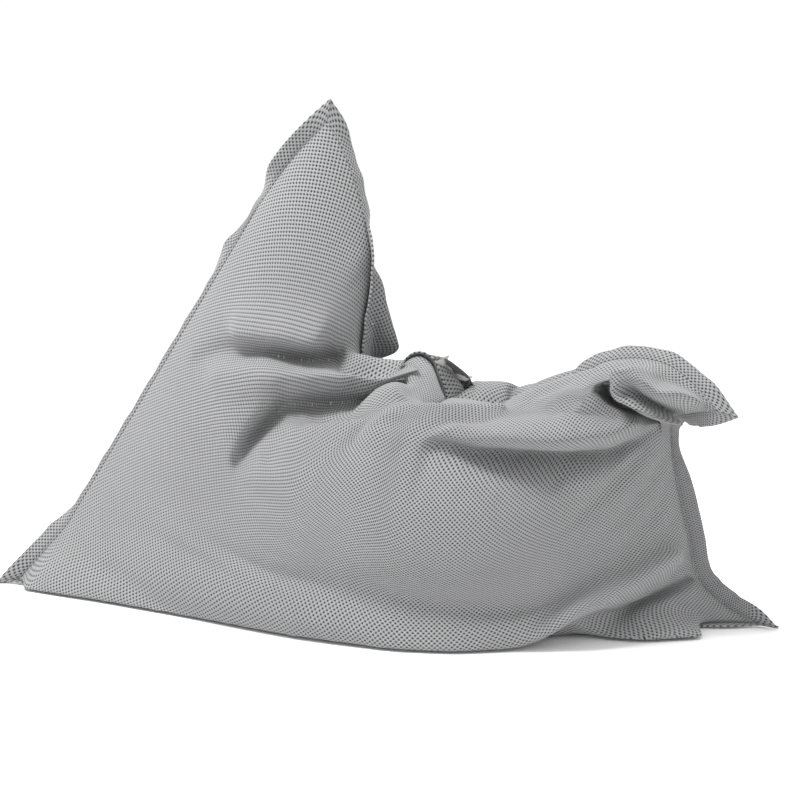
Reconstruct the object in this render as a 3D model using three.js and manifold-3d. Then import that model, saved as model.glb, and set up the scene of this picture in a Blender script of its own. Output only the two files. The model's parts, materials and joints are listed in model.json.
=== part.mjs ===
// Bean bag chair: a giant floor pillow stood on one long edge and sat in, so that one corner makes
// the back rest and the far corner flops over the foot end. Millimetres, +Z up, the long bottom seam
// along X. Inside the zipped cover is a zipped liner bag, and inside that are the polystyrene beads.
import * as THREE from "three";
import { mergeVertices } from "three/addons/utils/BufferGeometryUtils.js";
import Module from "manifold-3d";

const wasm = await Module();
wasm.setup();

// ---------- driving dimensions ----------
const FLANGE_WIDTH = 35; // stitched edge band all round the pillow
const FLANGE_THICK = 2.4; // two turned layers of cloth
const COVER_CLOTH = 1.2;
const LINER_CLOTH = 0.6;
const GAP = 0.3; // between pieces that touch
const SEAM_GAP = 2; // between the flange and the panels' rims
const LINER_DEPTH = 3; // outside of the cover to the outside of the liner
const BEAD_DEPTH = 8; // outside of the cover to the beads
const LINER_INSET = 0.55; // the liner's seam lies this share of a cell inside the cover's seam
const BEAD_INSET = 0.9;
const COLUMNS = 24; // cells along the long edges
const ROWS = 16; // cells along the short edges
const SLIM_BULGE = 125; // half thickness towards the back rest
const SEAT_BULGE = 205; // added half thickness under the sitter
const SEAT_AT = 0.6; // share of the long edge where the bag is fullest
const SETTLE = 0.2; // share of the panel that the fill presses onto the floor under the seat
const ARM_RISE = 230; // how far the sides of the seat stand above its seam
const SEAM_LIFT = 5; // the bottom seam rides on its folded flange
const STITCH_INSET = 5; // topstitching to the seam
const THREAD = 0.9;
const TIP_REACH = 1.5; // the flange's mitred corners, in flange widths

const ORIGIN_SHIFT = [10, -6.5, 0]; // puts the origin under the middle of the whole part

// ---------- the seam's course round the pillow ----------
// Each edge runs from one corner to the next. The left edge is straight where the zip is.
const LEFT_EDGE = [
  [-835, 0, 5], [-722, 30, 138], [-713.1, 30.9, 152.5], [-499, 52.5, 500.5], [-284.9, 74.1, 848.5],
  [-276, 75, 863], [-190, 70, 976], [-120, 60, 1043],
];
const TOP_EDGE = [
  [-120, 60, 1043], [-85, 60, 930], [-50, 55, 800], [-35, 50, 670], [-42, 50, 555],
  [5, 50, 465], [95, 50, 455], [190, 45, 400], [290, 30, 395], [385, 10, 465],
  [470, -30, 565], [545, -60, 590], [620, -90, 585], [680, -120, 540], [725, -140, 485],
];
const RIGHT_EDGE = [
  [815, -5, 5], [745, 0, 45], [690, 0, 100], [668, 0, 190], [642, 0, 300],
  [628, -5, 390], [632, -40, 445], [670, -100, 470], [725, -140, 485],
];
const BOTTOM_EDGE = [
  [-835, 0, 5], [-420, -10, 5], [0, -30, 5], [420, -30, 5], [815, -5, 5],
];

const courseOf = (points) =>
  new THREE.CatmullRomCurve3(points.map((p) => new THREE.Vector3(...p)), false, "centripetal");
const left = courseOf(LEFT_EDGE);
const top = courseOf(TOP_EDGE);
const right = courseOf(RIGHT_EDGE);
const bottom = courseOf(BOTTOM_EDGE);

// ---------- the two zips, both in the straight part of the left edge ----------
const ZIP_ROWS = [3, 12]; // grid rows between which the edge opens for the zip
const COVER_ZIP = { tape: 13.5, tapeThick: 0.8, coil: 2.2, coilHigh: 1.6, slider: 14, plate: 1 };
const LINER_ZIP = { tape: 10.5, tapeThick: 0.5, coil: 1.7, coilHigh: 1.2, slider: 10, plate: 0.8 };
const SPLIT = 1.6; // between the two coils, where the slider's divider runs
const STOP_LENGTH = 4;
const TAPE_END = 6; // bare tape beyond each stop
const openingOf = ({ tape }) => FLANGE_THICK / 2 + GAP + 2 * tape + SPLIT;

// ---------- the pillow's skin ----------
const FORWARD = new THREE.Vector3(0, -1, 0);
const bump = (x, middle, width) => Math.exp(-(((x - middle) / width) ** 2));
const arch = (t, power) => (4 * t * (1 - t)) ** power;

// Grid stations, a little closer together at the seams, where the skin curves most.
function station(i, count) {
  const t = i / count;
  return 0.75 * t + 0.25 * (0.5 - 0.5 * Math.cos(Math.PI * t));
}

// A point of the sheet that spans the four edges, u along the pillow and v up it. It runs straight
// from the bottom edge to the top one, and bends to follow the left and right edges only near them.
function middleAt(u, v) {
  const between = (from, to) => from.clone().lerp(to, v);
  const p = between(bottom.getPointAt(u), top.getPointAt(u));
  const leftBend = left.getPointAt(v).sub(between(left.getPoint(0), left.getPoint(1)));
  const rightBend = right.getPointAt(v).sub(between(right.getPoint(0), right.getPoint(1)));
  return p.addScaledVector(leftBend, (1 - u) ** 2).addScaledVector(rightBend, u ** 5);
}

// A point of the skin: side is 1 for the front panel and -1 for the back panel.
function skinAt(u, v, side) {
  const p = middleAt(u, v);
  const seat = bump(u, SEAT_AT, 0.34);
  const fullness = arch(u, 0.6) * v ** 0.38 * (1 - v) ** (0.62 - 0.1 * seat) * 1.85;
  p.addScaledVector(FORWARD, side * fullness * (SLIM_BULGE + SEAT_BULGE * seat));
  const onFloor = SETTLE * arch(u, 0.5) * (0.4 + 0.6 * seat);
  p.z *= Math.max(0, v - onFloor) / (1 - onFloor) / Math.max(v, 0.01);
  if (v > onFloor) p.z += ARM_RISE * bump(u, 0.62, 0.2) * fullness * bump(v, 0.75, 0.2);
  const clearOfFlange = SEAM_LIFT - Math.abs(p.y - bottom.getPointAt(u).y) * 0.065;
  p.z = Math.max(p.z, 0, Math.min(SEAM_LIFT, clearOfFlange));
  return p;
}

const onRim = (i, j) => i === 0 || j === 0 || i === COLUMNS || j === ROWS;
const index = (i, j) => i * (ROWS + 1) + j;
const cells = [];
for (let i = 0; i <= COLUMNS; i++) for (let j = 0; j <= ROWS; j++) cells.push([i, j]);

// The skin's points and outward normals on one side. The rim's normals point straight forward or back.
function skinGrid(side) {
  const points = cells.map(([i, j]) => skinAt(station(i, COLUMNS), station(j, ROWS), side));
  const normals = cells.map(([i, j]) => {
    if (onRim(i, j)) return FORWARD.clone().multiplyScalar(side);
    const along = points[index(i + 1, j)].clone().sub(points[index(i - 1, j)]);
    const up = points[index(i, j + 1)].clone().sub(points[index(i, j - 1)]);
    return along.cross(up).multiplyScalar(side).normalize();
  });
  return { points, normals };
}
const skin = { front: skinGrid(1), back: skinGrid(-1) };

// The left edge of one bag, moved in by inset (in cells), with the zip's straight line in it and the
// zip's axes: along it upwards, across it towards the back panel, and out of the pillow.
function leftEdge(inset) {
  const at = (j) => middleAt(inset * station(1, COLUMNS), station(j, ROWS));
  const [start, end] = ZIP_ROWS.map(at);
  const along = end.clone().sub(start).normalize();
  const across = FORWARD.clone().negate();
  across.addScaledVector(along, -across.dot(along)).normalize();
  const out = along.clone().cross(across);
  return { start, end, along, across, out };
}

// The skin taken inwards by depth. Its rim stands off the seam's middle line by standoff. For a bag
// inside the cover, inset moves the rim in by that share of a cell. The back panel's rim also makes
// room for the zip.
function layer(name, depth, standoff, inset = 0, opening = 0) {
  const { points, normals } = skin[name];
  const moved = (n, count) => {
    if (n === 0) return inset * station(1, count);
    return n === count ? 1 - inset * station(1, count) : station(n, count);
  };
  const edge = leftEdge(inset);
  return cells.map(([i, j], k) => {
    if (!onRim(i, j)) {
      const point = points[k].clone().addScaledVector(normals[k], -depth);
      const overFloor = j === 1 ? Math.max(points[k].z, 0) : 0;
      point.z = Math.max(point.z, overFloor + depth);
      return point;
    }
    const rim = middleAt(moved(i, COLUMNS), moved(j, ROWS));
    rim.z = Math.max(rim.z, SEAM_LIFT + (inset > 0 ? depth : 0));
    if (i === 0 && j >= ZIP_ROWS[0] && j <= ZIP_ROWS[1]) {
      const length = edge.end.distanceTo(edge.start);
      const share = rim.clone().sub(edge.start).dot(edge.along) / length;
      rim.lerpVectors(edge.start, edge.end, share);
      if (name === "back") rim.addScaledVector(edge.across, opening);
    }
    return rim.addScaledVector(normals[k], standoff);
  });
}

function indexed(points, faces) {
  const geometry = new THREE.BufferGeometry().setFromPoints(points);
  geometry.setIndex(faces.flat());
  return geometry;
}

// The grid's triangles. They face forward unless turned.
function gridFaces(turned, offset = 0) {
  const faces = [];
  for (let i = 0; i < COLUMNS; i++)
    for (let j = 0; j < ROWS; j++) {
      const [a, b, c, d] = [index(i, j), index(i + 1, j), index(i + 1, j + 1), index(i, j + 1)];
      for (const [p, q, r] of [[a, b, c], [a, c, d]])
        faces.push(turned ? [p + offset, r + offset, q + offset] : [p + offset, q + offset, r + offset]);
    }
  return faces;
}

// The rim's points in order, anticlockwise seen from the front: bottom, right, top and left edge.
function rimLoop() {
  const loop = [];
  for (let i = 0; i < COLUMNS; i++) loop.push(index(i, 0));
  for (let j = 0; j < ROWS; j++) loop.push(index(COLUMNS, j));
  for (let i = COLUMNS; i > 0; i--) loop.push(index(i, ROWS));
  for (let j = ROWS; j > 0; j--) loop.push(index(0, j));
  return loop;
}

// A closed sheet of cloth: one panel of a bag, from an outer depth to an inner depth.
function panelGeometry(name, depth, thick, inset, opening) {
  const outer = layer(name, depth, GAP + thick, inset, opening);
  const inner = layer(name, depth + thick, GAP, inset, opening);
  const back = name === "back";
  const faces = [...gridFaces(back), ...gridFaces(!back, outer.length)];
  const loop = rimLoop();
  loop.forEach((a, k) => {
    const b = loop[(k + 1) % loop.length];
    const [a2, b2] = [a + outer.length, b + outer.length];
    if (back) faces.push([a, b, a2], [b, b2, a2]);
    else faces.push([a, a2, b], [b, a2, b2]);
  });
  return indexed([...outer, ...inner], faces);
}

// The heap of beads: both sides' deepest layers, sharing one rim.
function beadGeometry() {
  const front = layer("front", BEAD_DEPTH, 0, BEAD_INSET);
  const back = layer("back", BEAD_DEPTH, 0, BEAD_INSET);
  const faces = [...gridFaces(false), ...gridFaces(true, front.length)];
  return mergeVertices(indexed([...front, ...back], faces), 1e-3);
}

// ---------- the flange and its topstitching ----------
// A rectangular band swept through stations, each with a centre, a direction across and a normal.
function bandGeometry(stations, thick) {
  const points = stations.flatMap(({ from, to, normal }) =>
    [[from, -1], [to, -1], [to, 1], [from, 1]].map(([p, way]) =>
      p.clone().addScaledVector(normal, (way * thick) / 2)));
  const faces = [];
  for (let s = 0; s + 1 < stations.length; s++)
    for (let k = 0; k < 4; k++) {
      const [a, b] = [4 * s + k, 4 * s + ((k + 1) % 4)];
      faces.push([a, a + 4, b], [b, a + 4, b + 4]);
    }
  const last = 4 * (stations.length - 1);
  faces.push([0, 1, 2], [0, 2, 3], [last, last + 2, last + 1], [last, last + 3, last + 2]);
  return indexed(points, faces);
}

// The seam's rim as the panels have it, with the way out of the pillow at each point.
const rimPoints = rimLoop().map((k) => {
  const [i, j] = cells[k];
  const p = middleAt(station(i, COLUMNS), station(j, ROWS));
  p.z = Math.max(p.z, SEAM_LIFT);
  return p;
});

// At a rim point: the seam's direction, and the way out of the pillow, square to it and upright.
function rimAxes(k) {
  const count = rimPoints.length;
  const along = rimPoints[(k + 1) % count].clone().sub(rimPoints[(k + count - 1) % count]).normalize();
  return { along, out: new THREE.Vector3(along.z, 0, -along.x).normalize() };
}

const EDGE_STARTS = {
  bottom: [0, COLUMNS],
  right: [COLUMNS, COLUMNS + ROWS],
  top: [COLUMNS + ROWS, 2 * COLUMNS + ROWS],
  left: [2 * COLUMNS + ROWS, 2 * COLUMNS + 2 * ROWS],
};

// One edge's band between two distances from the seam. The bottom one lies folded forward, flat on the
// floor, and the right one narrows where the corner flops over and bunches it.
function edgeStations(edge, near, far, standoff) {
  const [first, end] = EDGE_STARTS[edge];
  const count = rimPoints.length;
  const stations = [];
  for (let k = first; k <= end; k++) {
    const share = (k - first) / (end - first);
    const p = rimPoints[k % count].clone();
    if (k === first) p.lerp(rimPoints[k + 1], 0.02);
    if (k === end) p.lerp(rimPoints[k - 1], 0.02);
    const onFloor = k % count === 0 || k === COLUMNS;
    const { along, out } = rimAxes(onFloor ? Math.min(Math.max(k, first + 1), end - 1) : k);
    const normal = out.clone().cross(along);
    let lowest = SEAM_LIFT;
    let width = !onFloor && (k === first || k === end) ? TIP_REACH : 1;
    if (edge === "bottom") {
      const turned = 1 - Math.min(1, Math.min(share, 1 - share) / 0.06);
      out.set(share < 0.5 ? -turned : turned, turned - 1, 0).normalize();
      normal.set(0, 0, 1);
      p.z = lowest = FLANGE_THICK / 2;
    } else if (edge === "right") {
      width *= 1 - 0.8 * bump(share, 0.66, 0.16);
    }
    const from = p.clone().addScaledVector(out, near * width);
    const to = p.clone().addScaledVector(out, far * width);
    for (const q of [from, to]) {
      q.z = Math.max(q.z, lowest);
      q.addScaledVector(normal, standoff);
    }
    stations.push({ from, to, normal });
  }
  return stations;
}

// ---------- the zips ----------
// A box in a zip's own axes: x along the zip, y across it towards the back, z out of the pillow.
function boxBetween([x0, x1], [y0, y1], [z0, z1]) {
  return new THREE.BoxGeometry(x1 - x0, y1 - y0, z1 - z0)
    .translate((x0 + x1) / 2, (y0 + y1) / 2, (z0 + z1) / 2);
}

function toManifold(geometry) {
  const bare = new THREE.BufferGeometry();
  bare.setAttribute("position", geometry.getAttribute("position"));
  bare.setIndex(geometry.getIndex());
  const merged = mergeVertices(bare, 1e-5);
  return new wasm.Manifold(new wasm.Mesh({
    numProp: 3,
    vertProperties: new Float32Array(merged.getAttribute("position").array),
    triVerts: new Uint32Array(merged.getIndex().array),
  }));
}

function joined(...geometries) {
  const mesh = geometries.map(toManifold).reduce((sum, solid) => sum.add(solid)).getMesh();
  const geometry = new THREE.BufferGeometry();
  geometry.setAttribute("position", new THREE.BufferAttribute(mesh.vertProperties, 3));
  geometry.setIndex(new THREE.BufferAttribute(mesh.triVerts, 1));
  return geometry;
}

// All pieces of one zip, in its own axes, with its slider drawn up against the upper stop.
function zipPieces(size, length) {
  const { tape, tapeThick, coil, coilHigh, slider, plate } = size;
  const y = GAP + tape + SPLIT / 2; // the line between the coils
  const [low, high] = [tapeThick / 2 + GAP, tapeThick / 2 + GAP + coilHigh];
  const ends = [GAP, length - GAP];
  const stopRoom = TAPE_END + STOP_LENGTH + GAP;
  const teeth = [ends[0] + stopRoom, ends[1] - stopRoom];
  const pair = (x, wide, z) => [
    boxBetween(x, [y - SPLIT / 2 - wide, y - SPLIT / 2], z),
    boxBetween(x, [y + SPLIT / 2, y + SPLIT / 2 + wide], z),
  ];
  const tapes = pair(ends, tape, [-tapeThick / 2, tapeThick / 2]);
  const coils = pair(teeth, coil, [low, high]);
  const stopAt = (x) => boxBetween([x, x + STOP_LENGTH], [y - coil, y + coil], [low, high]);

  const half = SPLIT / 2 + coil + GAP + plate;
  const body = [teeth[1] - slider - 1, teeth[1] - 1];
  const lid = [high + GAP, high + GAP + plate];
  const sole = -tapeThick / 2 - GAP;
  const sliderBody = joined(
    boxBetween(body, [y - half, y + half], lid),
    boxBetween(body, [y - half, y - half + plate], [low, lid[1]]),
    boxBetween(body, [y + half - plate, y + half], [low, lid[1]]),
    boxBetween(body, [y - half, y + half], [sole - plate, sole]),
    boxBetween([body[1] - slider / 3, body[1]], [y - SPLIT / 2 + GAP, y + SPLIT / 2 - GAP],
      [sole - plate, lid[1]]),
  );
  return {
    tapes, coils, sliderBody, y, body, roof: lid[1],
    stops: [stopAt(teeth[0] - GAP - STOP_LENGTH), stopAt(teeth[1] + GAP)],
  };
}

// The cover zip's bridge over the slider and the puller that hangs down from it.
const BRIDGE = { half: 3.6, post: 1, hole: 2.1, wide: 2.4, bar: 1 };
const PULLER = { pin: 0.75, arm: 1.2, armLength: 8, length: 27, half: 4.2, thick: 1.2 };

function bridgeGeometry({ y, body, roof }) {
  const x = (body[0] + body[1]) / 2;
  const width = [y - BRIDGE.wide / 2, y + BRIDGE.wide / 2];
  const top = roof + BRIDGE.hole + BRIDGE.bar;
  return [
    boxBetween([x - BRIDGE.half, x - BRIDGE.half + BRIDGE.post], width, [roof - 0.2, top]),
    boxBetween([x + BRIDGE.half - BRIDGE.post, x + BRIDGE.half], width, [roof - 0.2, top]),
    boxBetween([x - BRIDGE.half, x + BRIDGE.half], width, [roof + BRIDGE.hole, top]),
  ];
}

// Where the puller turns, in the zip's own axes.
const pinOf = ({ y, body, roof }) =>
  new THREE.Vector3((body[0] + body[1]) / 2, y, roof + BRIDGE.hole / 2);

function pullerGeometry(pieces) {
  const pin = pinOf(pieces);
  const inner = BRIDGE.wide / 2 + GAP;
  const z = [pin.z - PULLER.thick / 2, pin.z + PULLER.thick / 2];
  const arm = (y0) => boxBetween([pin.x - PULLER.armLength, pin.x + PULLER.pin], [y0, y0 + PULLER.arm], z);
  const bar = new THREE.CylinderGeometry(PULLER.pin, PULLER.pin, 2 * (inner + PULLER.arm), 12);
  const blade = boxBetween([pin.x - PULLER.length, pin.x - PULLER.armLength + 0.5],
    [pin.y - PULLER.half, pin.y + PULLER.half], z);
  return joined(
    arm(pin.y - inner - PULLER.arm), arm(pin.y + inner), bar.translate(pin.x, pin.y, pin.z), blade);
}

// ---------- the part ----------
const cloth = new THREE.MeshStandardMaterial({ color: 0x8d8f92, roughness: 0.95 });
const thread = new THREE.MeshStandardMaterial({ color: 0x7c7e81, roughness: 0.8 });
const lining = new THREE.MeshStandardMaterial({ color: 0xe4e2dc, roughness: 0.9 });
const beads = new THREE.MeshStandardMaterial({ color: 0xf6f6f3, roughness: 0.7 });
const tapeCloth = new THREE.MeshStandardMaterial({ color: 0x6b6d70, roughness: 0.9 });
const nylon = new THREE.MeshStandardMaterial({ color: 0x5a5c5f, roughness: 0.5 });
const metal = new THREE.MeshStandardMaterial({ color: 0x9a9ca0, roughness: 0.35, metalness: 1 });

const part = new THREE.Group();
part.name = "bean_bag_chair";

function add(name, geometry, material) {
  const bare = geometry.index ? geometry.toNonIndexed() : geometry;
  bare.deleteAttribute("normal");
  bare.computeVertexNormals();
  bare.translate(...ORIGIN_SHIFT);
  const mesh = new THREE.Mesh(bare, material);
  mesh.name = name;
  part.add(mesh);
}

for (const name of ["front", "back"]) {
  add(`cover_${name}_panel`, panelGeometry(name, 0, COVER_CLOTH, 0, openingOf(COVER_ZIP)), cloth);
  add(`liner_${name}_panel`,
    panelGeometry(name, LINER_DEPTH, LINER_CLOTH, LINER_INSET, openingOf(LINER_ZIP)), lining);
}
add("bead_fill", beadGeometry(), beads);

for (const edge of ["left", "top", "right", "bottom"]) {
  add(`flange_${edge}`, bandGeometry(edgeStations(edge, SEAM_GAP, FLANGE_WIDTH, 0), FLANGE_THICK), cloth);
  const standoff = FLANGE_THICK / 2 + 1 + THREAD / 2;
  add(`topstitch_${edge}`,
    bandGeometry(edgeStations(edge, STITCH_INSET, STITCH_INSET + THREAD, standoff), THREAD), thread);
}

function addZip(prefix, size, inset, finish) {
  const edge = leftEdge(inset);
  const axes = new THREE.Matrix4().makeBasis(edge.along, edge.across, edge.out);
  const origin = edge.start.clone().addScaledVector(edge.across, FLANGE_THICK / 2);
  const place = axes.setPosition(origin);
  const addPlaced = (name, geometry, material) => add(prefix + name, geometry.applyMatrix4(place), material);
  const pieces = zipPieces(size, edge.end.distanceTo(edge.start));
  ["front", "back"].forEach((name, k) => {
    addPlaced(`tape_${name}`, pieces.tapes[k], tapeCloth);
    addPlaced(`coil_${name}`, pieces.coils[k], nylon);
  });
  ["lower", "upper"].forEach((name, k) => addPlaced(`stop_${name}`, pieces.stops[k], metal));
  finish(pieces, addPlaced);
}

addZip("zip_", COVER_ZIP, 0, (pieces, addPlaced) => {
  addPlaced("slider", joined(pieces.sliderBody, ...bridgeGeometry(pieces)), metal);
  addPlaced("puller", pullerGeometry(pieces), metal);
});
addZip("liner_zip_", LINER_ZIP, LINER_INSET, (pieces, addPlaced) => {
  addPlaced("slider", pieces.sliderBody, metal);
});

export default part;
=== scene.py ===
# %% [markdown]
# # A giant floor pillow, used as a bean bag chair
# The real thing is two rectangles of chunky grey upholstery cloth, sewn together a thumb's length
# inside their edge, so that a flat band of doubled cloth stands out all round. It is filled with
# polystyrene beads, stood on one long edge and sat in. One corner rises as a back rest, the far one
# flops over, and the slack cloth between them falls into rolls and deep creases.
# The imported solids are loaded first. They say where everything is, and nothing here moves them.

# %% The frame
import json
import math

import bmesh
import bpy
import numpy as np
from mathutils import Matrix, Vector
from mathutils.bvhtree import BVHTree

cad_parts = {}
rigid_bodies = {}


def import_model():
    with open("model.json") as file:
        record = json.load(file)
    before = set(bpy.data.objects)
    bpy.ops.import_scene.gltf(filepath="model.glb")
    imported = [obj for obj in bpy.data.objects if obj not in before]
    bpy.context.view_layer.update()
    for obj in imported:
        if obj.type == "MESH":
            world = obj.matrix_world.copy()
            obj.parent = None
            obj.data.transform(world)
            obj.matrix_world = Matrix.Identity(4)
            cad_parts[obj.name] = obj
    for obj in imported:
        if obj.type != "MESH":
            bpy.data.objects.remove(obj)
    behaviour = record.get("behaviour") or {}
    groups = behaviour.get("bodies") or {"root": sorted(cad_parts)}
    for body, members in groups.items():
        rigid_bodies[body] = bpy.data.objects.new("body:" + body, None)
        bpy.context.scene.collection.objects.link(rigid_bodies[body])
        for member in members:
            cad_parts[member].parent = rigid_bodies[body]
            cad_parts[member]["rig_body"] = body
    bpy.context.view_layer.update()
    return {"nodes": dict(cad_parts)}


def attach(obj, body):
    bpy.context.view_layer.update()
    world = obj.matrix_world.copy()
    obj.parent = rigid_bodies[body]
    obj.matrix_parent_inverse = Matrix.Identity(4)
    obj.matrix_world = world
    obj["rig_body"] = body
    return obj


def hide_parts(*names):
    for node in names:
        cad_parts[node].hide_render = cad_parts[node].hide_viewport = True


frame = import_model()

NODES = frame["nodes"]
SCENE = bpy.context.scene
ORIGIN = np.array([0.010, -0.0065, 0.0])  # the seam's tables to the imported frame's origin

# %% [markdown]
# ## Camera, floor and light
# The camera comes first, so that every later choice can be looked at. It stands a little to the
# right of the pillow's front and looks slightly down with a long lens, which keeps the seams almost
# as straight as they are. A broad soft light from the upper left and a bright room give the pale
# studio look, in which creases are dark only where they are deep.

# %% Camera
AZIMUTH, ELEVATION, DISTANCE = math.radians(11), math.radians(11), 4.0
AIM = Vector((0.082, -0.172, 0.49)) + Vector(ORIGIN)


def add_object(name, data):
    made = bpy.data.objects.new(name, data)
    SCENE.collection.objects.link(made)
    return made


lens = bpy.data.cameras.new("camera")
lens.lens = 87.75
camera = add_object("camera", lens)
camera.location = AIM + DISTANCE * Vector((
    math.sin(AZIMUTH) * math.cos(ELEVATION), -math.cos(AZIMUTH) * math.cos(ELEVATION),
    math.sin(ELEVATION)))
camera.rotation_euler = (AIM - camera.location).to_track_quat("-Z", "Y").to_euler()
SCENE.camera = camera
print("camera at", [round(x, 3) for x in camera.location])

# %% Floor and light


def area_light(name, place, size, power, aim=(0, 0, 0.4)):
    data = bpy.data.lights.new(name, "AREA")
    data.shape, data.size, data.energy = "DISK", size, power
    lamp = add_object(name, data)
    lamp.location = place
    lamp.rotation_euler = (Vector(aim) - Vector(place)).to_track_quat("-Z", "Y").to_euler()
    return lamp


area_light("key_light", (-1.3, -0.9, 4.0), 1.4, 170)
area_light("fill_light", (3.2, -3.0, 1.8), 2.6, 12)
area_light("rim_light", (1.2, 2.8, 2.6), 2.0, 20)

world = bpy.data.worlds.new("studio")
world.use_nodes = True
world.node_tree.nodes["Background"].inputs["Color"].default_value = (1, 1, 1, 1)
world.node_tree.nodes["Background"].inputs["Strength"].default_value = 1.04
SCENE.world = world
SCENE.view_settings.view_transform = "Standard"

sheet_of_floor = bmesh.new()
bmesh.ops.create_grid(sheet_of_floor, x_segments=1, y_segments=1, size=120)
floor_mesh = bpy.data.meshes.new("floor")
sheet_of_floor.to_mesh(floor_mesh)
sheet_of_floor.free()
floor = add_object("floor", floor_mesh)
floor.location.z = -0.0005
print("three lamps, a white room and a floor")

# %% [markdown]
# ## Shader sums
# A weave is arithmetic on two coordinates. Node by node that is slow to read, so one small class
# wraps a socket, and ordinary operators on it add the Math nodes. Every other node is added by one
# method that sets its options before its sockets.

# %% A small language for materials


class Wire:
    """One output socket of a material under construction."""

    def __init__(self, shop, socket):
        self.shop, self.socket = shop, socket

    def _math(self, kind, *values):
        return self.shop.node("ShaderNodeMath", {"operation": kind}, {
            i: v for i, v in enumerate(values)})

    def __add__(self, other): return self._math("ADD", self, other)
    def __radd__(self, other): return self._math("ADD", other, self)
    def __sub__(self, other): return self._math("SUBTRACT", self, other)
    def __rsub__(self, other): return self._math("SUBTRACT", other, self)
    def __mul__(self, other): return self._math("MULTIPLY", self, other)
    def __rmul__(self, other): return self._math("MULTIPLY", other, self)
    def cosine(self): return self._math("COSINE", self)

    def between(self, low, high):
        """0 below low, 1 above high, and smooth between."""
        return self.shop.node(
            "ShaderNodeMapRange", {"interpolation_type": "SMOOTHSTEP"},
            {"Value": self, "From Min": low, "From Max": high}, "Result")


class Finish:
    """A material, its Principled shader, and the nodes that feed it."""

    def __init__(self, name, **constants):
        self.material = bpy.data.materials.new(name)
        self.material.use_nodes = True
        self.tree = self.material.node_tree
        self.shader = self.tree.nodes["Principled BSDF"]
        for socket, value in constants.items():
            self.shader.inputs[socket.replace("_", " ")].default_value = value

    def node(self, kind, options=None, sockets=None, output=0):
        made = self.tree.nodes.new(kind)
        for option, value in (options or {}).items():
            setattr(made, option, value)
        for socket, value in (sockets or {}).items():
            if isinstance(value, Wire):
                self.tree.links.new(value.socket, made.inputs[socket])
            else:
                made.inputs[socket].default_value = value
        return Wire(self, made.outputs[output])

    def axes(self, vector):
        split = self.tree.nodes.new("ShaderNodeSeparateXYZ")
        self.tree.links.new(vector.socket, split.inputs[0])
        return [Wire(self, split.outputs[i]) for i in range(3)]

    def place(self):
        return self.node("ShaderNodeTexCoord", output="Object")

    def cut(self):
        """Where a point lies on the flat cloth, in metres."""
        return self.node("ShaderNodeUVMap", {"uv_map": "cut"})

    def noise(self, vector, scale, detail=2.0, roughness=0.5):
        return self.node("ShaderNodeTexNoise", None, {
            "Vector": vector, "Scale": scale, "Detail": detail, "Roughness": roughness}, "Fac")

    def mix(self, share, low, high):
        made = self.tree.nodes.new("ShaderNodeMix")
        made.data_type = "RGBA"
        for i, value in ((0, share), (6, low), (7, high)):
            if isinstance(value, Wire):
                self.tree.links.new(value.socket, made.inputs[i])
            else:
                made.inputs[i].default_value = (*value, 1) if i else value
        return Wire(self, made.outputs[2])

    def feed(self, **wires):
        for socket, wire in wires.items():
            self.tree.links.new(wire.socket, self.shader.inputs[socket.replace("_", " ")])

    def bump(self, height, distance, strength=1.0):
        self.feed(Normal=self.node("ShaderNodeBump", None, {
            "Strength": strength, "Distance": distance, "Height": height}))


print("material helpers ready")

# %% [markdown]
# ### The cover's waffle weave
# The cloth is a chunky matt weave: small raised pads with a pit between each four, in a lattice
# turned 45 degrees to the cut edges. Two cosines across the diagonals make the lattice, their sum is
# the height, and the pits are where it is lowest. Its colour is painted shade that follows that
# height:
# the lower yarn between the pads is darker and the pits are near-black. It reads the flat cloth's own
# coordinates, so it bends with every fold, and it is uneven in colour over a hand's breadth, as
# brushed yarn is.

# %% The cloth of the cover
LATTICE = 0.0077  # from pit to pit along the diagonals
TURNS = 2 * math.pi / LATTICE / math.sqrt(2)
# The pad grey is the raised pads. The darker yarn grey below them and the near-black pit grey are
# painted shade where the weave is lower.
PAD_GREY = (0.325, 0.327, 0.331)
YARN_SHADE_GREY = (0.215, 0.217, 0.221)
PIT_SHADE_GREY = (0.022, 0.022, 0.023)


def weave(name, pit_shade_depth=1.0):
    finish = Finish(name, Roughness=0.92, Specular_IOR_Level=0.2, Sheen_Weight=0.25,
                    Sheen_Roughness=0.45)
    flat = finish.cut()
    along, up, _ = finish.axes(flat)
    lattice = (TURNS * (along + up)).cosine() + (TURNS * (along - up)).cosine()
    fuzz = finish.noise(flat, 900, 3.0, 0.7)
    worn = finish.noise(finish.place(), 7.0, 3.0, 0.6)
    pads = (0.5 + 0.25 * lattice + 0.35 * (fuzz - 0.5)).between(0.05, 0.95)
    short = (TURNS * up).cosine()
    pits = (lattice * short * short + 0.5 * (fuzz - 0.5)).between(-0.30, -1.00)
    # The lower yarn between the pads is painted darker as shade, and its tone also varies at random
    # over a hand's breadth.
    cloth = finish.mix(pads * (0.75 + 0.5 * worn), YARN_SHADE_GREY, PAD_GREY)
    # Painted shade: the pits, where the weave is lowest, are darkened towards near-black.
    finish.feed(Base_Color=finish.mix(pits * pit_shade_depth, cloth, PIT_SHADE_GREY))
    finish.feed(Roughness=0.86 + 0.12 * fuzz)
    finish.bump(pads - 0.6 * pits, 0.0016, 0.9)
    return finish.material


COVER_CLOTH = weave("waffle_cloth")
print("weave lattice", LATTICE, "m")

# %% [markdown]
# ### The other finishes
# The thread is a little darker and smoother than the cloth and shows its twist, with painted shade in
# the grooves between its ribs. The zip's tape is a close herringbone, shaded the same way, its coil is
# satin nylon, and its metal has the fine scratches of use. The liner is a thin plain cloth and the
# beads show as a field of small domes, with painted shade in the gaps between them. None of these is a
# flat colour.

# %% Thread, zip, liner and beads


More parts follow.
